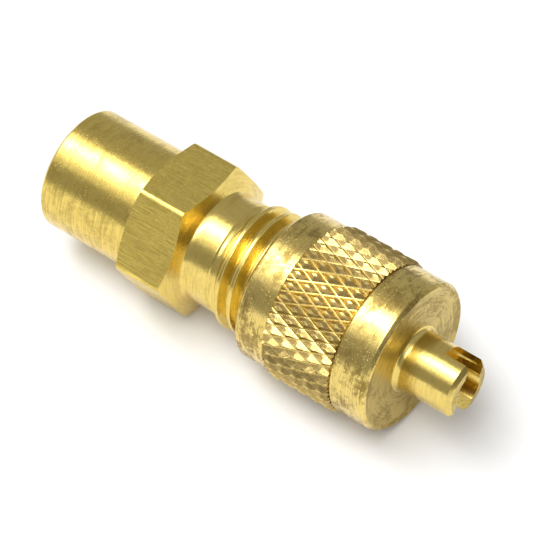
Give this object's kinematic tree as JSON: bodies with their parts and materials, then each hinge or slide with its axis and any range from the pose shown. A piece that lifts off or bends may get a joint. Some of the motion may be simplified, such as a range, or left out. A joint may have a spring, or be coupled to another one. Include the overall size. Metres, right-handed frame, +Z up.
{
  "type": "refrigerant service valve",
  "caption": "Brass refrigerant service valve with a hexagon body, a tube socket, a sprung core inside and a knurled screw cap whose slotted stub turns the core.",
  "frame": {"origin": "centre of the tube socket's mouth", "axes": "+X along the valve axis from the tube socket to the tip of the cap's stub, +Z up with one hexagon flat on top, lying on its side"},
  "size_m": [0.0395, 0.0136, 0.0136],
  "materials": {
    "body_brass": "turned and satin",
    "cap_brass": "turned, knurled and slightly tarnished",
    "core_brass": "turned",
    "pin_brass": "bright drawn wire",
    "spring_steel": "bright wire",
    "seal_rubber": "matte",
    "seal_white": "waxy"
  },
  "bodies": {
    "valve": {"valve_body": "body_brass", "core_plug": "core_brass", "core_barrel": "core_brass", "barrel_gasket": "seal_white", "core_spring": "spring_steel"},
    "pin": {"core_pin": "pin_brass", "seat_cup": "core_brass", "cup_gasket": "seal_rubber"},
    "seal": {"cap_gasket": "seal_rubber"},
    "cap": {"cap": "cap_brass"}
  },
  "joints": [
    {"name": "pin_press", "type": "slide", "parent": "valve", "child": "pin", "axis": [-1, 0, 0], "range_m": [0, 0.0012], "stiffness_N_per_m": 1500, "springref_m": -0.0002, "deforming": ["core_spring"]},
    {"name": "cap_lift", "type": "slide", "parent": "valve", "child": "seal", "axis": [1, 0, 0], "range_m": [0, 0.0127]},
    {"name": "cap_turn", "type": "hinge", "parent": "seal", "child": "cap", "pos_m": [0.027, 0, 0], "axis": [1, 0, 0], "range_deg": [0, 3600]}
  ],
  "couplings": [
    {"joint": "cap_lift", "follows": "cap_turn", "m_per_rad": 0.00020213}
  ]
}
